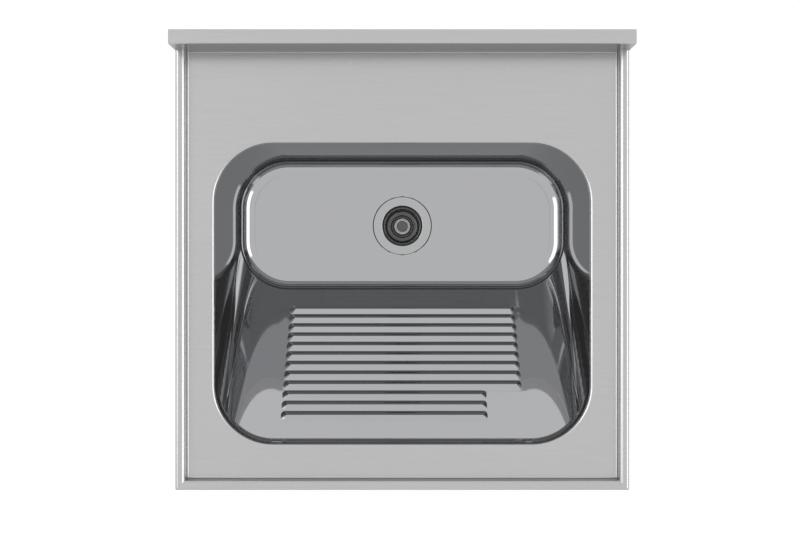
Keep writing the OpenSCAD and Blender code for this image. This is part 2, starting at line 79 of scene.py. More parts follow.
# Bowl: its opening, corners and floor
BOWL_W, BOWL_L, BOWL_DEPTH = 500.0, 400.0, 200.0
BOWL_FRONT = 59.5
PAN_L = 195.0
CORNER = 78.0
FLOOR_R = 20.0
DRAFT = 4.5
CREASE_R = 1.5
FLOOR_FALL = math.radians(1.3)
BOWL_Y = -HALF + BOWL_FRONT + BOWL_L / 2
BACK_Y = BOWL_Y + BOWL_L / 2
FRONT_Y = BOWL_Y - BOWL_L / 2
FLOOR_Z = TOP_Z - BOWL_DEPTH
PAN_Z = FLOOR_Z + FLOOR_R
PAN_Y = BACK_Y - DRAFT - PAN_L

# The roll where the deck turns down into the bowl, satin as far as EDGE_SATIN
EDGE_R, EDGE_DROP = 5.0, 3.0
EDGE_TURN = math.acos(1 - EDGE_DROP / EDGE_R)
EDGE_SATIN = math.radians(40)
EDGE_W = EDGE_R * math.sin(EDGE_TURN)
COLLAR_Z = TOP_Z - EDGE_DROP

# Steps of the mesh round each bend of the bowl
EDGE_STEPS, PAN_STEPS, CREASE_STEPS, TOP_STEPS = 7, 16, 6, 12

# The slope from the pan up to the hollow under the collar. Its normals lie at SLOPE_SHEEN.
RISE = COLLAR_Z - PAN_Z
TOP_R = 18.0
RUN = PAN_Y - FRONT_Y - TOP_R
SLOPE = math.atan(RISE / RUN) - math.asin(TOP_R / math.hypot(RUN, RISE))
SLOPE_L = math.sqrt(RUN ** 2 + RISE ** 2 - TOP_R ** 2)
SLOPE_SHEEN = math.radians(41.8)
WALL_LEAN = DRAFT / RISE

# Washboard: each rib rises over RIB_RISER to its nose and falls over the rest of the pitch. Its ends
# are ovals with the exponent RIB_ROUND, outward from RIB_LEFT and RIB_RIGHT, and the upper ribs stop
# RIB_CUT short at the right. RIB_CREST rounds the nose and RIB_FOOT the foot. What is lower than
# RAISED shades like the slope between the ribs.
RIBS, SHORT_RIBS = 12, 3
RIB_PITCH, RIB_FIRST = 16.6, 30.3
RIB_H, RIB_RISER = 3.6, 8.9
RIB_LAST = RIB_FIRST + RIBS * RIB_PITCH
RIB_LEFT, RIB_RIGHT, RIB_CUT = -157.5, 159.5, 49.5
RIB_END_LEFT, RIB_END_RIGHT = 9.0, 7.0
RIB_CREST = 0.16
RIB_FOOT = 0.35
RIB_ROUND = 2.5
RAISED = 0.02

# Strainer: the recess pressed into the floor and the seal round the flange. The seal's black top in
# the gap is also painted shade.
DRAIN_Y = BACK_Y - 102.5
FLANGE_R = 44.5
FLANGE_T = 1.2
RECESS_R, RECESS_DEPTH, RECESS_EDGE = 45.3, 2.2, 0.15
DRAIN_HOLE_R = 33.45
SEAL_SHADE_DROP = 0.25

# Grey levels by distance from the drain's axis, as (radius, grey level). The dark levels are painted
# shade inside the cup and the basket, in the knob's hollow and in the gap round the flange; the
# lighter levels are the steel's own.
CUP_TONES_AND_SHADE = [(0, 0.05), (30.4, 0.05), (31.4, 0.43), (43.7, 0.43), (44.0, 0.02)]
CUP_MIRROR_FROM = 31.0
BASKET_TONES_AND_SHADE = [(0, 0.13), (24, 0.14), (25, 0.4), (27, 0.3), (28, 0.07), (29.7, 0.06)]
KNOB_TONES_AND_SHADE = [(0, 0.13), (8.3, 0.13), (8.9, 0.36), (12.3, 0.36)]
ZONES_REACH = 60.0
NO_MIRROR = 1000.0

# Casts of grey steel, as red, green and blue
BOWL_CAST = (1, 1.008, 1.034)
TURNED_CAST = (1, 1.006, 1.02)


# Meshes

class Skin:
    """Patches of a surface in millimetres, each point with its true normal, joined into one mesh."""

    def __init__(self):
        self.points = []
        self.normals = []
        self.quads = []
        self.finishes = []
        self.count = 0

    def patch(self, points, normals, finish=0, loop=False):
        """A grid of points. Faces turn to the side that the normals point to."""
        points = np.asarray(points, float)
        normals = np.broadcast_to(np.asarray(normals, float), points.shape)
        rows, columns = points.shape[:2]
        index = np.arange(rows * columns).reshape(rows, columns)
        if loop:
            index = np.hstack([index, index[:, :1]])
        quads = np.stack([index[:-1, :-1], index[:-1, 1:], index[1:, 1:], index[1:, :-1]], -1)
        quads = quads.reshape(-1, 4)
        flat_points = points.reshape(-1, 3)
        flat_normals = normals.reshape(-1, 3)
        corner = flat_points[quads]
        face = np.cross(corner[:, 2] - corner[:, 0], corner[:, 3] - corner[:, 1])
        wrong = (face * flat_normals[quads].sum(1)).sum(1) < 0
        quads[wrong] = quads[wrong][:, ::-1]
        self.points.append(flat_points)
        self.normals.append(flat_normals)
        self.quads.append(quads + self.count)
        self.finishes.append(np.full(len(quads), finish))
        self.count += len(flat_points)

    def edge(self, near, far, finish=0, inside=None):
        """A narrow flat strip between two closed rows of points, which closes a sheet's edge. It faces
        away from the point inside, where one is given."""
        along = np.roll(near, -1, 0) - near
        normal = np.cross(along, far - near)
        length = np.linalg.norm(normal, axis=1, keepdims=True)
        normal = normal / np.where(length > 0, length, 1)
        if inside is not None:
            away = ((near + far) / 2 - inside) * normal
            normal = np.where(away.sum(1, keepdims=True) < 0, -normal, normal)
        self.patch([near, far], [normal, normal], finish, loop=True)

    def mesh(self, name, materials):
        """The patches joined where their points meet, with no face that has shrunk to a line."""
        points = np.concatenate(self.points)
        normals = np.concatenate(self.normals)
        quads = np.concatenate(self.quads)
        finishes = np.concatenate(self.finishes)
        key = np.round(points * STEPS_PER_MM).astype(np.int64)
        _, first, same = np.unique(key, axis=0, return_index=True, return_inverse=True)
        same = same.reshape(-1)
        faces, corners, kept = [], [], []
        for quad, finish in zip(quads, finishes):
            ring = []
            for i in quad:
                if not ring or same[i] != same[ring[-1]]:
                    ring.append(i)
            if len(ring) > 1 and same[ring[0]] == same[ring[-1]]:
                ring.pop()
            if len(ring) > 2 and len({same[i] for i in ring}) == len(ring):
                faces.append([same[i] for i in ring])
                corners.extend(ring)
                kept.append(finish)
        mesh = bpy.data.meshes.new(name)
        mesh.from_pydata((points[first] * MM).tolist(), [], faces)
        for material in materials:
            mesh.materials.append(material)
        mesh.polygons.foreach_set("use_smooth", [True] * len(faces))
        mesh.polygons.foreach_set("material_index", kept)
        length = np.linalg.norm(normals, axis=1, keepdims=True)
        normals = normals / np.where(length > 0, length, 1)
        mesh.normals_split_custom_set(normals[corners].tolist())
        mesh.update()
        return mesh

    def piece(self, name, materials, slot, replaced):
        """A piece of the sink that stands for the solid named replaced."""
        piece = bpy.data.objects.new(name, self.mesh(name, materials))
        bpy.context.scene.collection.objects.link(piece)
        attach(piece, "sink")
        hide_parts(replaced)


def bend(steps, start, heading, side=1, spacing=7.5):
    """Skin of a bent sheet as a walk: points and normals. Each step is (straight run, turn, radius).
    Side 1 has the sheet on the right of the walk, and -1 on its left. Angles are in degrees, and the
    points of a turn are at most spacing apart."""
    at = np.array(start, float)
    points, normals = [at.copy()], [side * left_of(heading)]
    for run, turn, radius in steps:
        at = at + run * ahead(heading)
        points.append(at.copy())
        normals.append(side * left_of(heading))
        if turn:
            sign = math.copysign(1, turn)
            centre = at + sign * radius * left_of(heading)
            count = max(2, math.ceil(abs(turn) / spacing))
            for k in range(1, count + 1):
                angle = heading + turn * k / count
                points.append(centre - sign * radius * left_of(angle))
                normals.append(side * left_of(angle))
            heading += turn
            at = points[-1].copy()
    return np.array(points), np.array(normals)


def left_of(heading):
    """The direction to the left of a heading in degrees."""
    a = math.radians(heading)
    return np.array([-math.sin(a), math.cos(a)])


def ahead(heading):
    a = math.radians(heading)
    return np.array([math.cos(a), math.sin(a)])


def turned(skin, points, normals, turns=96):
    """A profile of (radius, level) turned about the drain's axis."""
    angle = np.linspace(0, 2 * math.pi, turns, endpoint=False)
    cos, sin = np.cos(angle), np.sin(angle)
    r, z = points[:, :1], points[:, 1:]
    nr, nz = normals[:, :1], normals[:, 1:]
    ones = np.ones_like(angle)
    grid = np.stack([r * cos, DRAIN_Y + r * sin, z * ones], -1)
    facing = np.stack([nr * cos, nr * sin, nz * ones], -1)
    skin.patch(grid, facing, loop=True)


# Materials

def shader(name, **sockets):
    """A new material, its node tree and its principled shader, with the named sockets set."""
    material = bpy.data.materials.new(name)
    material.use_nodes = True
    principled = material.node_tree.nodes["Principled BSDF"]
    for socket, value in sockets.items():
        principled.inputs[socket.replace("_", " ")].default_value = value
    return material, material.node_tree, principled


def node(tree, kind, **values):
    """A new node, with the named properties or sockets set."""
    made = tree.nodes.new(kind)
    for key, value in values.items():
        if hasattr(made, key):
            setattr(made, key, value)
        else:
            made.inputs[key.replace("_", " ")].default_value = value
    return made


def place(tree, scale):
    """Object coordinates in metres, stretched by scale."""
    coordinates = node(tree, "ShaderNodeTexCoord")
    mapping = node(tree, "ShaderNodeMapping")
    mapping.inputs["Scale"].default_value = scale
    tree.links.new(coordinates.outputs["Object"], mapping.inputs["Vector"])
    return mapping.outputs["Vector"]


def noise(tree, vector, detail=2.0, roughness=0.5):
    made = node(tree, "ShaderNodeTexNoise")
    made.inputs["Scale"].default_value = 1.0
    made.inputs["Detail"].default_value = detail
    made.inputs["Roughness"].default_value = roughness
    tree.links.new(vector, made.inputs["Vector"])
    return made.outputs["Fac"]


def ramp(tree, value, low, high, from_low=0.3, from_high=0.7):
    """Low to high as the value goes over a span, which by default is where a noise mostly lies."""
    made = node(tree, "ShaderNodeMapRange")
    made.inputs["From Min"].default_value = from_low
    made.inputs["From Max"].default_value = from_high
    made.inputs["To Min"].default_value = low
    made.inputs["To Max"].default_value = high
    tree.links.new(value, made.inputs["Value"])
    return made.outputs["Result"]


def math_node(tree, operation, a, b=0):
    made = node(tree, "ShaderNodeMath", operation=operation)
    for socket, value in zip(made.inputs, (a, b)):
        if isinstance(value, (int, float)):
            socket.default_value = value
        else:
            tree.links.new(value, socket)
    return made.outputs[0]


def cast(level, shares):
    """A grey level with a cast of colour."""
    return tuple(level * share for share in shares)


def tint(tree, value, colour):
    """A varying level times a colour."""
    made = node(tree, "ShaderNodeVectorMath", operation="SCALE")
    made.inputs[0].default_value = colour
    tree.links.new(value, made.inputs["Scale"])
    return made.outputs["Vector"]


def bump(tree, principled, height, distance, strength):
    made = node(tree, "ShaderNodeBump")
    made.inputs["Strength"].default_value = strength
    made.inputs["Distance"].default_value = distance
    tree.links.new(height, made.inputs["Height"])
    tree.links.new(made.outputs["Normal"], principled.inputs["Normal"])


def brushed_steel(name="deck_steel"):
    """Satin steel whose fine grain runs from side to side."""
    material, tree, principled = shader(name, Metallic=1.0, Roughness=0.26)
    principled.inputs["Specular Tint"].default_value = (0.66, 0.65, 0.64, 1)
    long_streaks = noise(tree, place(tree, (16, 420, 420)), detail=3.0, roughness=0.55)
    short_streaks = noise(tree, place(tree, (60, 1400, 1400)), detail=2.0)
    clouds = noise(tree, place(tree, (3, 5, 5)), detail=1.0)
    streaks = math_node(tree, "MULTIPLY", ramp(tree, long_streaks, 0.985, 1.015),
                        ramp(tree, short_streaks, 0.992, 1.008))
    level = math_node(tree, "MULTIPLY", streaks, ramp(tree, clouds, 0.992, 1.008))
    tree.links.new(tint(tree, level, (0.486, 0.485, 0.486)), principled.inputs["Base Color"])
    tree.links.new(ramp(tree, long_streaks, 0.27, 0.30), principled.inputs["Roughness"])
    bump(tree, principled, short_streaks, 0.000004, 0.1)
    return material


def polished_steel(name="bowl_steel", level=0.412):
    """Steel polished until it mirrors, with a faint haze. Its faint glow stands in for the
    reflections of reflections that a renderer leaves out."""
    material, tree, principled = shader(name, Metallic=1.0, Roughness=0.03)
    principled.inputs["Specular Tint"].default_value = (0.54, 0.54, 0.54, 1)
    principled.inputs["Emission Color"].default_value = (1, 1, 1, 1)
    principled.inputs["Emission Strength"].default_value = 0.013
    haze = noise(tree, place(tree, (9, 9, 9)), detail=3.0)
    colour = tint(tree, ramp(tree, haze, 0.996, 1.004), cast(level, BOWL_CAST))
    tree.links.new(colour, principled.inputs["Base Color"])
    tree.links.new(ramp(tree, haze, 0.03, 0.04), principled.inputs["Roughness"])
    return material


def drawn_steel(name="bowl_back"):
    """The dull outside of a deep-drawn bowl, with faint draw marks up its walls."""
    material, tree, principled = shader(name, Metallic=1.0)
    principled.inputs["Specular Tint"].default_value = (0.6, 0.6, 0.6, 1)
    marks = noise(tree, place(tree, (240, 240, 10)), detail=3.0)
    clouds = noise(tree, place(tree, (12, 12, 12)), detail=3.0)
    level = math_node(tree, "MULTIPLY", ramp(tree, marks, 0.95, 1.05), ramp(tree, clouds, 0.93, 1.05))
    tree.links.new(tint(tree, level, (0.43, 0.43, 0.435)), principled.inputs["Base Color"])
    tree.links.new(ramp(tree, clouds, 0.32, 0.42), principled.inputs["Roughness"])
    bump(tree, principled, marks, 0.00001, 0.3)
    return material


def turned_steel(name, tones_and_shade, mirror_from=NO_MIRROR):
    """Steel turned about the drain's axis: each zone is (radius in millimetres, level), and from
    mirror_from outward it is a mirror like the bowl. The dark levels are painted shade."""
    material, tree, principled = shader(name, Metallic=1.0)
    principled.inputs["Specular Tint"].default_value = (0.6, 0.6, 0.6, 1)
    coordinates = node(tree, "ShaderNodeTexCoord")
    separate = node(tree, "ShaderNodeSeparateXYZ")
    tree.links.new(coordinates.outputs["Object"], separate.inputs[0])
    x = math_node(tree, "MULTIPLY", separate.outputs[0], 1 / MM)
    y = math_node(tree, "SUBTRACT", math_node(tree, "MULTIPLY", separate.outputs[1], 1 / MM), DRAIN_Y)
    square = math_node(tree, "ADD", math_node(tree, "MULTIPLY", x, x), math_node(tree, "MULTIPLY", y, y))
    radius = math_node(tree, "SQRT", square)
    # Grey levels by radius: the dark ones paint the shade in the hollows and in the gap round the flange.
    levels = node(tree, "ShaderNodeValToRGB")
    stops = levels.color_ramp
    tree.links.new(math_node(tree, "DIVIDE", radius, ZONES_REACH), levels.inputs[0])
    while len(stops.elements) < len(tones_and_shade):
        stops.elements.new(0.5)
    for stop, (at, level) in zip(stops.elements, tones_and_shade):
        stop.position = at / ZONES_REACH
        stop.color = (*cast(level, TURNED_CAST), 1)
    rings = noise(tree, place(tree, (900, 900, 1)), detail=2.0)
    blotches = noise(tree, place(tree, (160, 160, 160)), detail=3.0)
    mirror = ramp(tree, radius, 0, 1, mirror_from - 0.2, mirror_from + 0.2)
    wear = math_node(tree, "MULTIPLY", ramp(tree, rings, 0.9, 1.1), ramp(tree, blotches, 0.9, 1.1))
    worn = math_node(tree, "MULTIPLY", math_node(tree, "SUBTRACT", 1, mirror), wear)
    calm = math_node(tree, "ADD", mirror, worn)
    scaled = node(tree, "ShaderNodeVectorMath", operation="SCALE")
    tree.links.new(levels.outputs["Color"], scaled.inputs[0])
    tree.links.new(calm, scaled.inputs["Scale"])
    tree.links.new(scaled.outputs["Vector"], principled.inputs["Base Color"])
    tree.links.new(ramp(tree, mirror, 0.42, 0.03, 0, 1), principled.inputs["Roughness"])
    return material


def rubber(name, colour, roughness=0.6):
    """Matt and a little dusty, with a moulded grain."""
    material, tree, principled = shader(name, Roughness=roughness)
    grain = noise(tree, place(tree, (900, 900, 900)), detail=2.0)
    dust = noise(tree, place(tree, (40, 40, 40)), detail=3.0)
    tree.links.new(tint(tree, ramp(tree, dust, 0.85, 1.25), colour), principled.inputs["Base Color"])
    tree.links.new(ramp(tree, dust, roughness - 0.08, roughness + 0.08), principled.inputs["Roughness"])
    bump(tree, principled, grain, 0.00005, 0.4)
    return material


def plastic(name, colour, roughness=0.35):
    """Moulded, with faint flow marks and a fine bloom."""
    material, tree, principled = shader(name, Roughness=roughness)
    principled.inputs["Subsurface Weight"].default_value = 0.05
    principled.inputs["Subsurface Radius"].default_value = (0.002, 0.002, 0.002)
    swirl = noise(tree, place(tree, (25, 25, 60)), detail=3.0)
    fine = noise(tree, place(tree, (600, 600, 600)), detail=2.0)
    tree.links.new(tint(tree, ramp(tree, swirl, 0.96, 1.03), colour), principled.inputs["Base Color"])
    tree.links.new(ramp(tree, swirl, roughness - 0.05, roughness + 0.07), principled.inputs["Roughness"])
    bump(tree, principled, fine, 0.00002, 0.3)
    return material


def galvanised(name="galvanised_steel"):
    """Zinc with its patchwork of crystals."""
    material, tree, principled = shader(name, Metallic=1.0, Roughness=0.4)
    crystals = node(tree, "ShaderNodeTexVoronoi")
    crystals.inputs["Scale"].default_value = 1.0
    tree.links.new(place(tree, (140, 140, 140)), crystals.inputs["Vector"])
    separate = node(tree, "ShaderNodeSeparateColor")
    tree.links.new(crystals.outputs["Color"], separate.inputs["Color"])
    colour = tint(tree, ramp(tree, separate.outputs["Red"], 0.42, 0.62, 0, 1), (0.98, 1.0, 1.02))
    tree.links.new(colour, principled.inputs["Base Color"])
    tree.links.new(ramp(tree, separate.outputs["Green"], 0.3, 0.5, 0, 1), principled.inputs["Roughness"])
    dirt = noise(tree, place(tree, (300, 300, 300)), detail=3.0)
    bump(tree, principled, dirt, 0.00004, 0.4)
    return material


def damping(name="damping_pad"):
    """Bitumen sheet with a pebbled face."""
    material, tree, principled = shader(name, Roughness=0.75)
    pebbles = node(tree, "ShaderNodeTexVoronoi")
    pebbles.inputs["Scale"].default_value = 1.0
    tree.links.new(place(tree, (450, 450, 450)), pebbles.inputs["Vector"])
    dust = noise(tree, place(tree, (30, 30, 30)), detail=4.0)
    colour = tint(tree, ramp(tree, dust, 0.8, 1.4), (0.05, 0.05, 0.053))
    tree.links.new(colour, principled.inputs["Base Color"])
    bump(tree, principled, pebbles.outputs["Distance"], 0.0003, 0.6)
    return material


# Deck

def rim_profile():
    """Rim, skirt and lip: x is 0 at the outer edge and grows outward."""
    return bend([
        (0, 90, RIM_BASE_R),
        (RIM_H - RIM_BASE_R - RIM_INNER_R, -90, RIM_INNER_R),
        (RIM_W - RIM_INNER_R - RIM_OUTER_R, -90, RIM_OUTER_R),
        (RIM_H - RIM_OUTER_R + TOP_Z - FOLD_R, -90, FOLD_R),
        (LIP_W - FOLD_R, 0, 0),
    ], (-RIM_BASE, TOP_Z), 0)


def skirt_profile():
    """Only the skirt and lip, as they run on behind the upstand's end plates."""
    return bend([
        (TOP_Z - END_LAP - FOLD_R, -90, FOLD_R),
        (LIP_W - FOLD_R, 0, 0),
    ], (0, TOP_Z - END_LAP), -90)


def upstand_profile():
    """The upstand, its back and its lip, like rim_profile."""
    return bend([
        (0, 90, UPSTAND_BASE_R),
        (UPSTAND_H - UPSTAND_BASE_R - UPSTAND_R, -90, UPSTAND_R),
        (UPSTAND_T - 2 * UPSTAND_R, -90, UPSTAND_R),
        (UPSTAND_H - UPSTAND_R + TOP_Z - FOLD_R, -90, FOLD_R),
        (LIP_W - FOLD_R, 0, 0),
    ], (-UPSTAND_BASE, TOP_Z), 0)


def both_faces(points, normals):
    """The outer and the inner face of a sheet whose skin is given."""
    return (points, normals), (points - SHEET * normals, -normals)


def side_run(skin, profile, start, end, sign):
    """A profile run along Y on the left, or on the right with sign 1. Start gives where a row begins
    for how far inward of the outer edge it lies."""
    for points, normals in both_faces(*profile):
        inward = -points[:, 0]
        x = sign * (HALF - inward)
        y0 = start(inward)
        y1 = np.full_like(y0, end)
        ends = [np.stack([x, y, points[:, 1]], -1) for y in (y0, y1)]
        facing = np.stack([sign * normals[:, 0], 0 * x, normals[:, 1]], -1)
        skin.patch(np.stack(ends), np.stack([facing, facing]))


def front_run(skin):
    """The rim's profile along the front, between the corners."""
    for points, normals in both_faces(*rim_profile()):
        inward = -points[:, 0]
        start = -HALF + np.maximum(inward, CORNER_R)
        y = -HALF + inward
        facing = np.stack([0 * y, -normals[:, 0], normals[:, 1]], -1)
        ends = [np.stack([sign * start, y, points[:, 1]], -1) for sign in (1, -1)]
        skin.patch(np.stack(ends), np.stack([facing, facing]))


def rim_corner(skin, sign, steps=8):
    """The rounded upright corner between the front and a side, and the mitre above it."""
    angle = np.linspace(math.pi, 1.5 * math.pi, steps + 1)[:, None]
    for points, normals in both_faces(*rim_profile()):
        inward = -points[:, 0]
        centre = -HALF + np.maximum(inward, CORNER_R)
        radius = np.maximum(CORNER_R - inward, 0)
        x = sign * -(centre + radius * np.cos(angle))
        y = centre + radius * np.sin(angle)
        z = np.broadcast_to(points[:, 1], x.shape)
        facing = np.stack([-sign * normals[:, 0] * np.cos(angle), normals[:, 0] * np.sin(angle),
                           np.broadcast_to(normals[:, 1], x.shape)], -1)
        skin.patch(np.stack([x, y, z], -1), facing)


def loop_stations(edge_columns):
    """Stations round the bowl, each with the direction it looks to, the x of its corner's middle,
    and its share of the way from the back corners to the front ones."""
    corner_x = BOWL_W / 2 - CORNER
    back_columns = 12
    stations = []

    def arc(first, x, share, count=26):
        for k in range(count + 1):
            stations.append((math.radians(first + 90 * k / count), x, share))

    def side(angle, x, share_from, share_to, count=8):
        for k in range(1, count):
            stations.append((math.radians(angle), x, share_from + (share_to - share_from) * k / count))

    side(0, corner_x, 1, 0)
    arc(0, corner_x, 0)
    for k in range(1, back_columns):
        stations.append((math.radians(90), corner_x - 2 * corner_x * k / back_columns, 0))
    arc(90, -corner_x, 0)
    side(180, -corner_x, 0, 1)
    arc(180, -corner_x, 1)
    for x in edge_columns:
        stations.append((math.radians(270), x, 1))
    arc(270, corner_x, 1)
    return np.array(stations)


def bowl_ring(stations, front_y, radius, z):
    """The bowl's points at the height z, with its front edge at front_y and corners of the radius."""
    angle, x, share = stations.T
    back = BACK_Y - CORNER
    y = back + share * (front_y + radius - back)
    return np.stack([x + radius * np.cos(angle), y + radius * np.sin(angle), np.full_like(x, z)], -1)


def rib_columns():
    """X of the columns across the washboard: close together where ribs end."""
    degrees = (0, 8, 18, 28, 39, 50, 61, 72, 81, 90)
    share = [math.sin(math.radians(a)) for a in degrees]
    left = [RIB_LEFT - RIB_END_LEFT * d for d in share]
    right = [RIB_RIGHT + RIB_END_RIGHT * d for d in share]
    short = [x - RIB_CUT for x in right]
    margin = [RIB_LEFT - RIB_END_LEFT - 1, RIB_LEFT + 1, RIB_RIGHT - RIB_CUT - 1,
              RIB_RIGHT - RIB_CUT + RIB_END_RIGHT + 1, RIB_RIGHT - 1, RIB_RIGHT + RIB_END_RIGHT + 1]
    middle = [-120, -80, -40, 0, 40, 80, 130]
    return sorted(left + right + short + margin + middle)


def outline(stations, offset, z):
    """The bowl's opening, moved outward by offset."""
    row = bowl_ring(stations, FRONT_Y, CORNER, z)
    row[:, 0] += offset * np.cos(stations[:, 0])
    row[:, 1] += offset * np.sin(stations[:, 0])
    return row


def bowl_edge(skin, stations):
    """The deck turns down into the bowl, satin at first and then polished. The polished stretch has
    normals that turn on to the bowl's wall."""
    angle = stations[:, 0]
    last = []
    for inset, sign in ((0, 1), (SHEET, -1)):
        radius = EDGE_R - inset
        satin = np.linspace(0, EDGE_SATIN, EDGE_STEPS + 1)
        mirror = np.linspace(EDGE_SATIN, EDGE_TURN, EDGE_STEPS + 1)
        onward = np.linspace(EDGE_SATIN, math.pi / 2, EDGE_STEPS + 1)
        for finish, turns, tilts in ((0, satin, satin), (1, mirror, onward)):
            rows, facing = [], []
            for turn, tilt in zip(turns, tilts):
                rows.append(outline(stations, EDGE_W - radius * math.sin(turn),
                                    TOP_Z - EDGE_R + radius * math.cos(turn)))
                lean = -math.sin(tilt)
                up = np.full_like(angle, math.cos(tilt))
                facing.append(sign * np.stack([lean * np.cos(angle), lean * np.sin(angle), up], -1))
            skin.patch(rows, facing, finish, loop=True)
        last.append(rows[-1])
    skin.edge(last[0], last[1], 1, inside=(0, BOWL_Y, TOP_Z))


def plate(skin, stations):
    """Flat deck from the bowl's edge to the rim's and the upstand's foot."""
    half_x = HALF - RIM_BASE
    front = -HALF + RIM_BASE
    back = HALF - UPSTAND_BASE
    corners = [(half_x, back), (-half_x, back), (-half_x, front), (half_x, front)]
    far = []
    for angle, near_x, share in stations:
        near_y = BACK_Y - CORNER + share * (FRONT_Y - BACK_Y + 2 * CORNER)
        sides = [(half_x, near_y), (near_x, back), (-half_x, near_y), (near_x, front)]
        quarter = int(math.degrees(angle) // 90) % 4
        way = math.degrees(angle) % 90 / 45
        if way <= 1:
            start, stop = sides[quarter], corners[quarter]
        else:
            start, stop = corners[quarter], sides[(quarter + 1) % 4]
            way -= 1
        x = start[0] + way * (stop[0] - start[0])
        y = start[1] + way * (stop[1] - start[1])
        far.append((x, y, TOP_Z))
    far = np.array(far)
    for drop, up in ((0, 1), (SHEET, -1)):
        rows = np.stack([outline(stations, EDGE_W, TOP_Z), far])
        rows[:, :, 2] -= drop
        skin.patch(rows, (0, 0, up), loop=True)


def deck(steel, polished, stations):
    """The deck's one sheet, polished only where it turns into the bowl."""
    skin = Skin()
    plate(skin, stations)
    bowl_edge(skin, stations)
    front_run(skin)
    for sign in (-1, 1):
        rim_corner(skin, sign)
        side_run(skin, rim_profile(), lambda inward: -HALF + np.maximum(inward, CORNER_R), UPSTAND_Y, sign)
        side_run(skin, skirt_profile(), lambda inward: np.full_like(inward, UPSTAND_Y), HALF, sign)
    for points, normals in both_faces(*upstand_profile()):
        end = HALF - SHEET
        y = HALF + points[:, 0]
        facing = np.stack([0 * y, normals[:, 0], normals[:, 1]], -1)
        ends = [np.stack([np.full_like(y, x), y, points[:, 1]], -1) for x in (-end, end)]
        skin.patch(np.stack(ends), np.stack([facing, facing]))
    skin.piece("deck_sheet", [steel, polished], "deck_steel", "deck")


# Bowl

def rib_height(x, s):
    """Height of the washboard above its slope, at x across and s up the slope."""
    tread = RIB_PITCH - RIB_RISER
    full = RIB_H / (math.sqrt(1 + RIB_CREST ** 2) - RIB_CREST)
    total = np.zeros(np.broadcast(x, s).shape)
    for i in range(RIBS):
        foot = RIB_FIRST + i * RIB_PITCH
        right = RIB_RIGHT if i < RIBS - SHORT_RIBS else RIB_RIGHT - RIB_CUT
        u = np.maximum(np.maximum((x - right) / RIB_END_RIGHT, (RIB_LEFT - x) / RIB_END_LEFT), 0)
        below = foot + RIB_RISER - s
        w = np.where(below > 0, below / RIB_RISER, -below / tread)
        distance = (u ** RIB_ROUND + w ** RIB_ROUND) ** (1 / RIB_ROUND)
        peak = full * (math.sqrt(1 + RIB_CREST ** 2) - np.sqrt(distance ** 2 + RIB_CREST ** 2))
        soft = (np.clip(peak, -RIB_FOOT, RIB_FOOT) + RIB_FOOT) ** 2 / (4 * RIB_FOOT)
        total += np.where(peak > RIB_FOOT, peak, soft)
    return total


def slope_rows():
    """Distances up the slope of the mesh's rows: close together at each rib's nose and foot."""
    near_foot = (-0.6, -0.2, 0.2, 0.8)
    up_riser = (2.0, 4.6, 7.4)
    near_nose = (-1.4, -0.7, -0.3, -0.05, 0.2, 0.6, 1.2, 2.6, 4.4)
    rows = [4, 10, 18, RIB_FIRST - 2]
    for i in range(RIBS):
        foot = RIB_FIRST + i * RIB_PITCH
        rows += [foot + d for d in near_foot + up_riser]
        rows += [foot + RIB_RISER + d for d in near_nose]
    return rows + [RIB_LAST + d for d in near_foot] + [SLOPE_L]


def bowl_rows(stations):
    """Rows of the inner face from the floor's edge to the collar, as points and outward directions."""
    angle, x, _ = stations.T
    cos, sin = np.cos(angle), np.sin(angle)
    front = np.maximum(-sin, 0)
    places, outward = [], []

    def lean(slope):
        return -np.arctan(front / math.tan(slope) + (1 - front) * WALL_LEAN)

    def direction(tilt):
        tilt = np.broadcast_to(tilt, angle.shape)
        return np.stack([np.cos(tilt) * cos, np.cos(tilt) * sin, np.sin(tilt)], -1)

    def wall(front_y, z):
        return bowl_ring(stations, front_y, CORNER - WALL_LEAN * (COLLAR_Z - z), z)

    # The hollow round the pan, up to a narrow rounded crease
    foot = lean(SLOPE)
    crease = bowl_ring(stations, PAN_Y, CORNER - DRAFT, PAN_Z)
    half = CREASE_R * np.tan(-foot / 2)
    for t in np.linspace(0, 1, PAN_STEPS + 1):
        tilt = -math.pi / 2 + t * (math.pi / 2 - np.arcsin(half / FLOOR_R))
        n = direction(tilt)
        places.append(crease - FLOOR_R * direction(0) + FLOOR_R * n)
        outward.append(n)
    for t in np.linspace(0, 1, CREASE_STEPS + 1):
        n = direction(t * foot)
        row = crease + CREASE_R * direction(0) - CREASE_R * n
        row[:, 2] -= half
        places.append(row)
        outward.append(n)

    # The walls and the washboard
    board = np.abs(sin + 1) < 1e-9
    up = np.array([0, math.sin(SLOPE), math.cos(SLOPE)])
    sheen = np.array([0, math.sin(SLOPE_SHEEN), math.cos(SLOPE_SHEEN)])
    uphill = np.array([0, -math.cos(SLOPE), math.sin(SLOPE)])
    sideways = np.array([1, 0, 0])
    step = 0.02
    for distance in slope_rows():
        row = wall(PAN_Y - distance * math.cos(SLOPE), PAN_Z + distance * math.sin(SLOPE))
        height = rib_height(x, distance)
        across = (rib_height(x + step, distance) - rib_height(x - step, distance)) / (2 * step)
        along = (rib_height(x, distance + step) - rib_height(x, distance - step)) / (2 * step)
        tilted = np.where(height[:, None] > RAISED, up, sheen)
        tilted = tilted - across[:, None] * sideways - along[:, None] * uphill
        tilted /= np.linalg.norm(tilted, axis=1, keepdims=True)
        places.append(np.where(board[:, None], row + height[:, None] * up, row))
        outward.append(np.where(board[:, None], -tilted, direction(lean(SLOPE_SHEEN))))

    # The hollow at the top of the washboard
    for t in np.linspace(0, 1, TOP_STEPS + 1)[1:]:
        slope = SLOPE + t * (math.pi / 2 - SLOPE)
        places.append(wall(FRONT_Y + TOP_R * (1 - math.sin(slope)), COLLAR_Z - TOP_R * math.cos(slope)))
        outward.append(direction(lean(max(slope, SLOPE_SHEEN))))
    return np.array(places), np.array(outward)


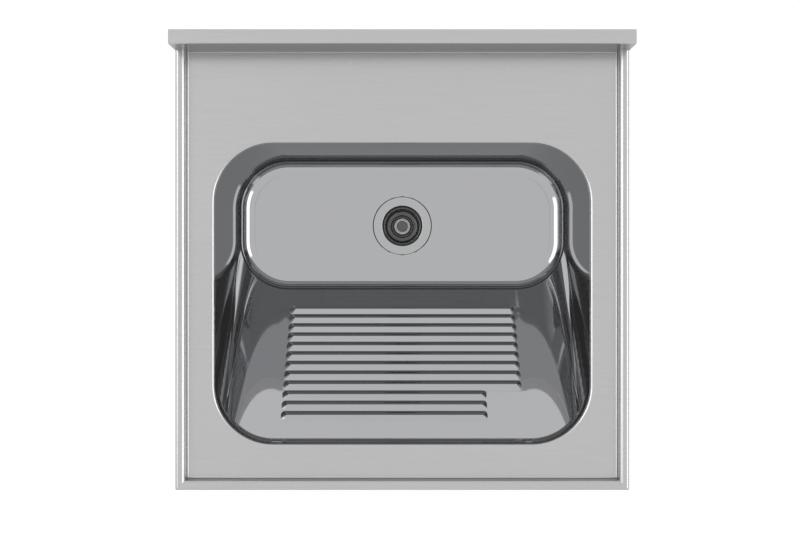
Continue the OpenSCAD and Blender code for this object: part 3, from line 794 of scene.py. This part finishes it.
def bowl(polished, dull, stations):
    """The pressing: walls and washboard, the floor, and the recess with its hole for the strainer."""
    skin = Skin()
    inner, outward = bowl_rows(stations)
    inner[-1, :, 2] = COLLAR_Z
    outer = inner + SHEET * outward
    outer[-1, :, 2] = COLLAR_Z
    skin.patch(inner, -outward, loop=True)
    skin.patch(outer, outward, 1, loop=True)
    skin.edge(inner[-1], outer[-1], inside=(0, BOWL_Y, FLOOR_Z))
    floor_line = inner[0]
    away = floor_line[:, :2] - (0, DRAIN_Y)
    away /= np.linalg.norm(away, axis=1, keepdims=True)

    def circle(radius, z):
        return np.stack([radius * away[:, 0], DRAIN_Y + radius * away[:, 1], np.full(len(away), z)], -1)

    edge_r = RECESS_R + RECESS_EDGE
    angle = stations[:, 0]
    lean = -math.sin(FLOOR_FALL)
    up = np.full_like(angle, math.cos(FLOOR_FALL))
    fall = np.stack([lean * np.cos(angle), lean * np.sin(angle), up], -1)
    flat = np.broadcast_to([0.0, 0.0, 1.0], fall.shape)
    skin.patch([floor_line, circle(edge_r, FLOOR_Z)], [fall, flat], loop=True)
    skin.patch([outer[0], circle(edge_r, FLOOR_Z - SHEET)], (0, 0, -1), 1, loop=True)
    profile, normals = bend([
        (0, 90, RECESS_EDGE),
        (RECESS_DEPTH - 2 * RECESS_EDGE, -90, RECESS_EDGE),
        (RECESS_R - RECESS_EDGE - DRAIN_HOLE_R, 0, 0),
    ], (edge_r, FLOOR_Z), 180, side=-1, spacing=15)
    for finish, (points, facing) in enumerate(both_faces(profile, normals)):
        rows = [circle(r, z) for r, z in points]
        around = [np.concatenate([n[0] * away, np.full((len(away), 1), n[1])], 1) for n in facing]
        skin.patch(rows, around, finish, loop=True)
    low = FLOOR_Z - RECESS_DEPTH
    skin.edge(circle(DRAIN_HOLE_R, low), circle(DRAIN_HOLE_R, low - SHEET))
    skin.piece("bowl_pressing", [polished, dull], "bowl_steel", "bowl")


def seal(black):
    """The seal squeezed up into the gap round the strainer's flange. Its black top in the gap is also
    painted shade, which darkens the gap.
    """
    skin = Skin()
    bottom = FLOOR_Z - RECESS_DEPTH
    middle = FLOOR_Z - FLANGE_T
    top = FLOOR_Z - SEAL_SHADE_DROP
    corners = [(RECESS_R, bottom), (RECESS_R, top), (FLANGE_R, top),
               (FLANGE_R, middle), (DRAIN_HOLE_R, middle), (DRAIN_HOLE_R, bottom)]
    facings = [(1, 0), (0, 1), (-1, 0), (0, 1), (-1, 0), (0, -1)]
    for corner, following, facing in zip(corners, corners[1:] + corners[:1], facings):
        turned(skin, np.array([corner, following]), np.array([facing, facing]))
    skin.piece("seal_with_gap_shade", [black], "seal_rubber", "flange_seal")


# Camera and light

def camera(height=1.310, behind=0.0015, nadir=(402.3, 262.0), focal_px=984.9, picture=(800, 533)):
    """Looks straight down from this height above the deck and this far behind its middle, in metres.
    Nadir is the pixel below the camera, in a picture of that many pixels."""
    data = bpy.data.cameras.new("camera")
    data.sensor_width = 36
    data.lens = focal_px / picture[0] * data.sensor_width
    data.shift_x = (picture[0] / 2 - nadir[0]) / picture[0]
    data.shift_y = (nadir[1] - picture[1] / 2) / picture[0]
    data.clip_start = 0.01
    data.clip_end = 100
    made = bpy.data.objects.new("camera", data)
    made.location = (0, behind, TOP_Z * MM + height)
    bpy.context.scene.collection.objects.link(made)
    bpy.context.scene.camera = made


def studio(overhead=1.0, horizon=1.035):
    """White surroundings, a little brighter at the horizon than overhead, with a soft bright panel at
    either side. The left one is higher and dimmer, and turned a little to the back."""
    world = bpy.data.worlds.new("studio")
    bpy.context.scene.world = world
    world.use_nodes = True
    tree = world.node_tree
    background = tree.nodes["Background"]
    direction = node(tree, "ShaderNodeTexCoord").outputs["Generated"]
    separate = node(tree, "ShaderNodeSeparateXYZ")
    tree.links.new(direction, separate.inputs[0])
    x, y, z = separate.outputs
    rise = math_node(tree, "ARCSINE", z)

    def fade(value, start, stop):
        return ramp(tree, value, 0, 1, math.radians(start), math.radians(stop))

    def panel(side, light, low, high, centre, half_width, soft=4):
        """Low and high are degrees above the horizon. Centre is degrees from the side to the back."""
        around = math_node(tree, "ARCTAN2", y, math_node(tree, "MULTIPLY", x, side))
        around = math_node(tree, "SUBTRACT", around, math.radians(centre))
        around = math_node(tree, "ABSOLUTE", around)
        over = fade(rise, low - soft / 2, low + soft / 2)
        under = fade(rise, high + soft / 2, high - soft / 2)
        beside = fade(around, half_width + soft / 2, half_width - soft / 2)
        mask = math_node(tree, "MULTIPLY", math_node(tree, "MULTIPLY", over, under), beside)
        return math_node(tree, "MULTIPLY", mask, light)

    left = panel(-1, light=1.8, low=29, high=58, centre=11, half_width=27)
    right = panel(1, light=2.0, low=22, high=48, centre=0, half_width=26)
    surroundings = ramp(tree, z, horizon, overhead, 0, 1)
    strength = math_node(tree, "ADD", math_node(tree, "ADD", left, right), surroundings)
    tree.links.new(strength, background.inputs["Strength"])
    background.inputs["Color"].default_value = (1, 1, 1, 1)


def floor():
    """A plain white floor just below the sink, seen from above only. Sizes are in metres."""
    reach = 12.0
    gap = 0.0005
    z = cad_box[0].z - gap
    mesh = bpy.data.meshes.new("floor")
    corners = [(-reach, -reach, z), (reach, -reach, z), (reach, reach, z), (-reach, reach, z)]
    mesh.from_pydata(corners, [], [(0, 1, 2, 3)])
    material = bpy.data.materials.new("floor_white")
    material.use_nodes = True
    tree = material.node_tree
    tree.nodes.clear()
    output = node(tree, "ShaderNodeOutputMaterial")
    glow = node(tree, "ShaderNodeEmission", Strength=0.95)
    paint = node(tree, "ShaderNodeBsdfDiffuse")
    paint.inputs["Color"].default_value = (0.12, 0.12, 0.12, 1)
    both = node(tree, "ShaderNodeAddShader")
    tree.links.new(glow.outputs[0], both.inputs[0])
    tree.links.new(paint.outputs[0], both.inputs[1])
    clear = node(tree, "ShaderNodeBsdfTransparent")
    side = node(tree, "ShaderNodeNewGeometry").outputs["Backfacing"]
    mix = node(tree, "ShaderNodeMixShader")
    tree.links.new(side, mix.inputs[0])
    tree.links.new(both.outputs[0], mix.inputs[1])
    tree.links.new(clear.outputs[0], mix.inputs[2])
    tree.links.new(mix.outputs[0], output.inputs["Surface"])
    mesh.materials.append(material)
    made = bpy.data.objects.new("floor", mesh)
    bpy.context.scene.collection.objects.link(made)


def dress(materials, special):
    """Gives each solid the material of its slot in the record, or its own."""
    for part in frame["record"]["subparts"]:
        solid = frame["nodes"][part["node"]]
        solid.data.materials.clear()
        solid.data.materials.append(special.get(part["node"], materials[part["material_slot"]]))


camera()
studio()
floor()
bpy.context.scene.view_settings.view_transform = "Standard"

materials = {
    "deck_steel": brushed_steel(),
    "bowl_steel": polished_steel(),
    "strainer_steel": polished_steel("strainer_steel", 0.44),
    "galvanised_steel": galvanised(),
    "damping_pad": damping(),
    "seal_rubber": rubber("seal_rubber", (0.02, 0.02, 0.02)),
    "friction_fibre": rubber("friction_fibre", (0.36, 0.25, 0.15), 0.8),
    "white_plastic": plastic("white_plastic", (0.80, 0.80, 0.78)),
    "bush_plastic": plastic("bush_plastic", (0.70, 0.70, 0.68), 0.5),
}
# The strainer's turned parts carry painted shade in their hollows and in the gap round the flange.
dress(materials, {
    "strainer_cup": turned_steel("cup_steel_painted_shade", CUP_TONES_AND_SHADE, CUP_MIRROR_FROM),
    "strainer_basket": turned_steel("basket_steel_painted_shade", BASKET_TONES_AND_SHADE),
    "stopper_knob": turned_steel("knob_steel_painted_shade", KNOB_TONES_AND_SHADE),
})
stations = loop_stations(rib_columns())
deck(materials["deck_steel"], materials["bowl_steel"], stations)
bowl(materials["bowl_steel"], drawn_steel(), stations)
seal(materials["seal_rubber"])
